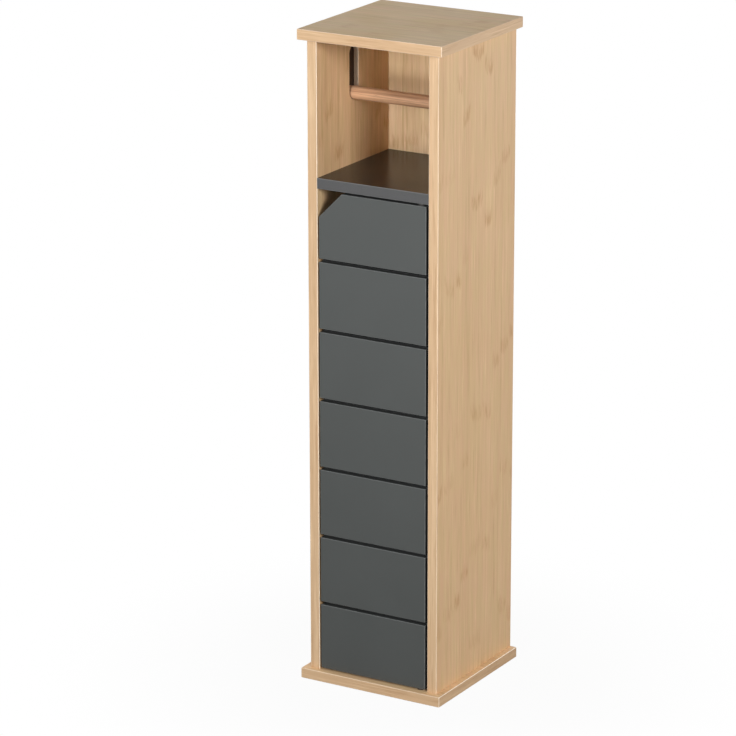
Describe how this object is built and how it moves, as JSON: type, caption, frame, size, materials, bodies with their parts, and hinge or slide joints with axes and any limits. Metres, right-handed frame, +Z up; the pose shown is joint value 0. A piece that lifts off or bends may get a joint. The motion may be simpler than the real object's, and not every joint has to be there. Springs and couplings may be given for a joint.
{
  "type": "toilet paper stand",
  "caption": "Free-standing narrow bamboo-look cabinet that holds a toilet roll on a lift-out rod in an open bay and spare rolls behind a grooved dark grey door.",
  "frame": {"origin": "on the floor, under the middle of the base", "axes": "+Z up, +X to the right of someone facing the door, front of the stand towards -Y"},
  "size_m": [0.18, 0.18, 0.75],
  "materials": {
    "bamboo_board": "bamboo-print melamine on fibreboard, satin",
    "bamboo_hardboard": "bamboo-print hardboard, bare brown rear",
    "grey_board": "dark grey melamine on fibreboard, satin",
    "grey_lacquer": "dark grey matt lacquer on fibreboard",
    "rod_wood": "turned hardwood, oiled",
    "bamboo_band": "printed edge band",
    "grey_band": "grey edge band",
    "steel": "zinc-plated steel",
    "dark_nylon": "moulded nylon",
    "brown_plastic": "moulded plastic",
    "ferrite": "ferrite magnet",
    "dowel_wood": "beech",
    "zinc": "zinc die casting"
  },
  "bodies": {
    "cabinet": {"base_panel": "bamboo_board", "left_side_panel": "bamboo_board", "right_side_panel": "bamboo_board", "top_panel": "bamboo_board", "back_panel": "bamboo_hardboard", "middle_shelf": "grey_board", "shelf_front_band": "grey_band", "base_left_band": "bamboo_band", "base_right_band": "bamboo_band", "base_front_band": "bamboo_band", "base_rear_band": "bamboo_band", "top_left_band": "bamboo_band", "top_right_band": "bamboo_band", "top_front_band": "bamboo_band", "top_rear_band": "bamboo_band", "left_side_front_band": "bamboo_band", "left_side_rear_band": "bamboo_band", "right_side_front_band": "bamboo_band", "right_side_rear_band": "bamboo_band", "lower_pivot_bush": "dark_nylon", "upper_pivot_bush": "dark_nylon", "catch_housing": "brown_plastic", "catch_magnet": "ferrite", "catch_pole_plates": "steel", "catch_screws": "steel", "base_screws": "steel", "base_dowels": "dowel_wood", "top_dowels": "dowel_wood", "shelf_dowels": "dowel_wood", "top_cam_bolts": "steel", "top_cams": "zinc", "shelf_cam_bolts": "steel", "shelf_cams": "zinc"},
    "door": {"door_panel": "grey_lacquer", "lower_pivot_pin": "steel", "upper_pivot_pin": "steel", "strike_plate": "steel", "strike_screw": "steel"},
    "rod": {"roll_rod": "rod_wood"}
  },
  "joints": [
    {"name": "door_hinge", "type": "hinge", "parent": "cabinet", "child": "door", "pos_m": [0.059, -0.076, 0.2925], "axis": [0, 0, 1], "range_deg": [0, 110]},
    {"name": "rod_lift", "type": "slide", "parent": "cabinet", "child": "rod", "axis": [0, 0, 1], "range_m": [0, 0.046]}
  ]
}
